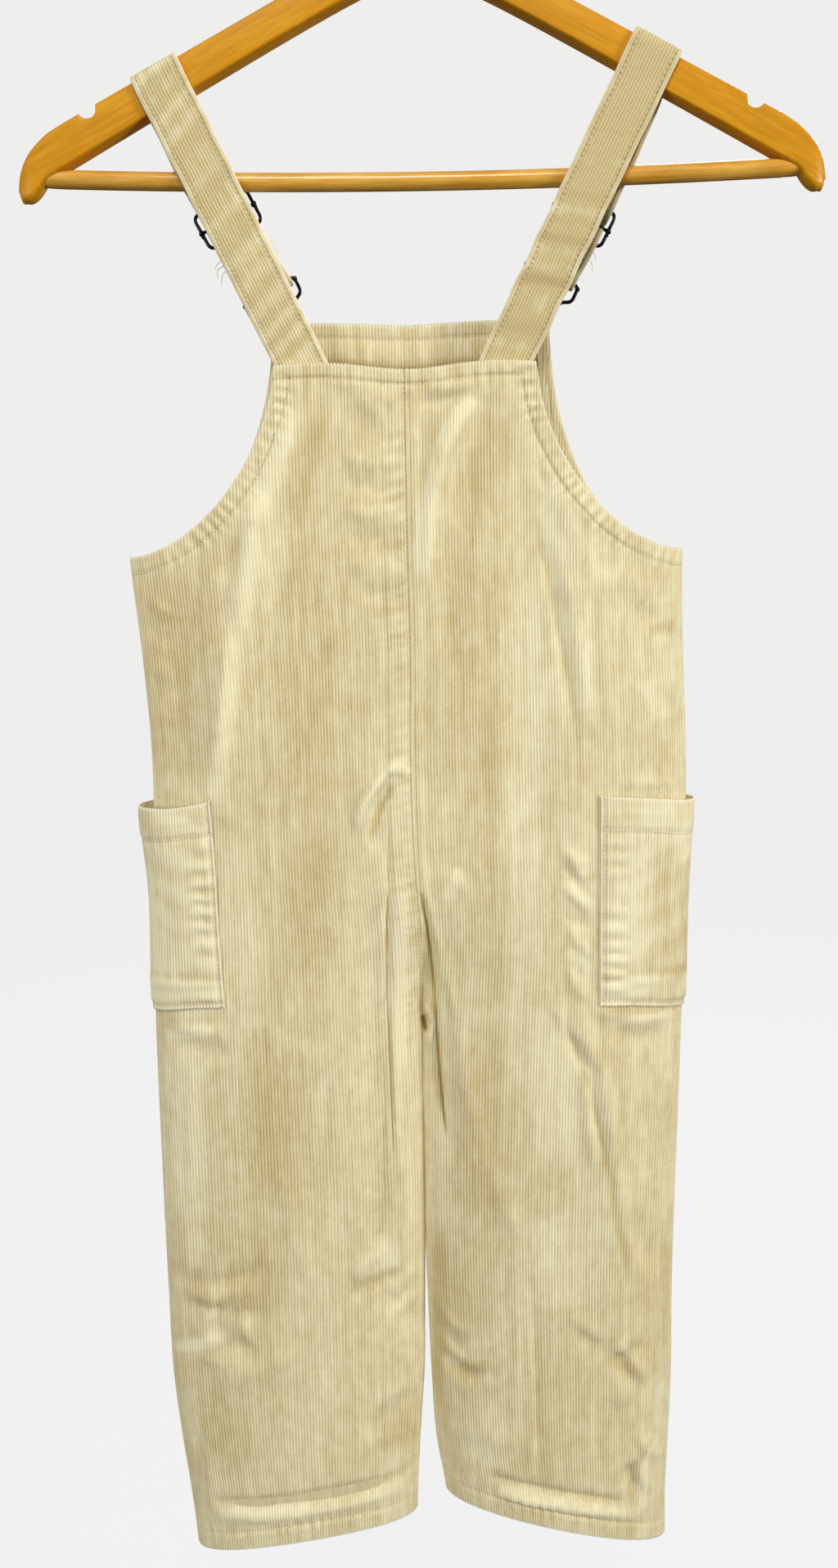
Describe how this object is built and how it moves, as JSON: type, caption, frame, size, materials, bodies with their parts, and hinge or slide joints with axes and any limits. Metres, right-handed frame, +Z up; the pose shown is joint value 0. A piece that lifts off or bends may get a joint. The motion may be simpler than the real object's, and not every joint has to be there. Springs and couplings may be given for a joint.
{
  "type": "corduroy bib overalls on a wooden coat hanger",
  "caption": "Child's corduroy bib overalls hanging flat on a flat wooden coat hanger, with adjustable straps, wire buckles, side patch pockets and open hems.",
  "frame": {"origin": "top of the inside of the hanger's hook, where a rail bears", "axes": "+Z up, +X to the right as seen from the garment's back, -Y towards the garment's back"},
  "size_m": [0.44, 0.0472, 1.069],
  "materials": {
    "corduroy": "cream cotton corduroy, fine wales running up and down, soft uneven nap",
    "gunmetal": "near-black plated wire, glossy",
    "varnished_wood": "honey-coloured wood under satin varnish",
    "hook_steel": "bright plated steel wire"
  },
  "bodies": {
    "root": {"back_left": "corduroy", "back_right": "corduroy", "front_left": "corduroy", "front_right": "corduroy", "front_facing": "corduroy", "pocket_left": "corduroy", "pocket_right": "corduroy", "strap_left": "corduroy", "strap_right": "corduroy", "slider_left": "gunmetal", "slider_right": "gunmetal", "buckle_left": "gunmetal", "buckle_right": "gunmetal", "button_left": "gunmetal", "button_right": "gunmetal", "hanger_body": "varnished_wood", "hanger_bar": "varnished_wood", "hanger_hook": "hook_steel"}
  },
  "joints": []
}
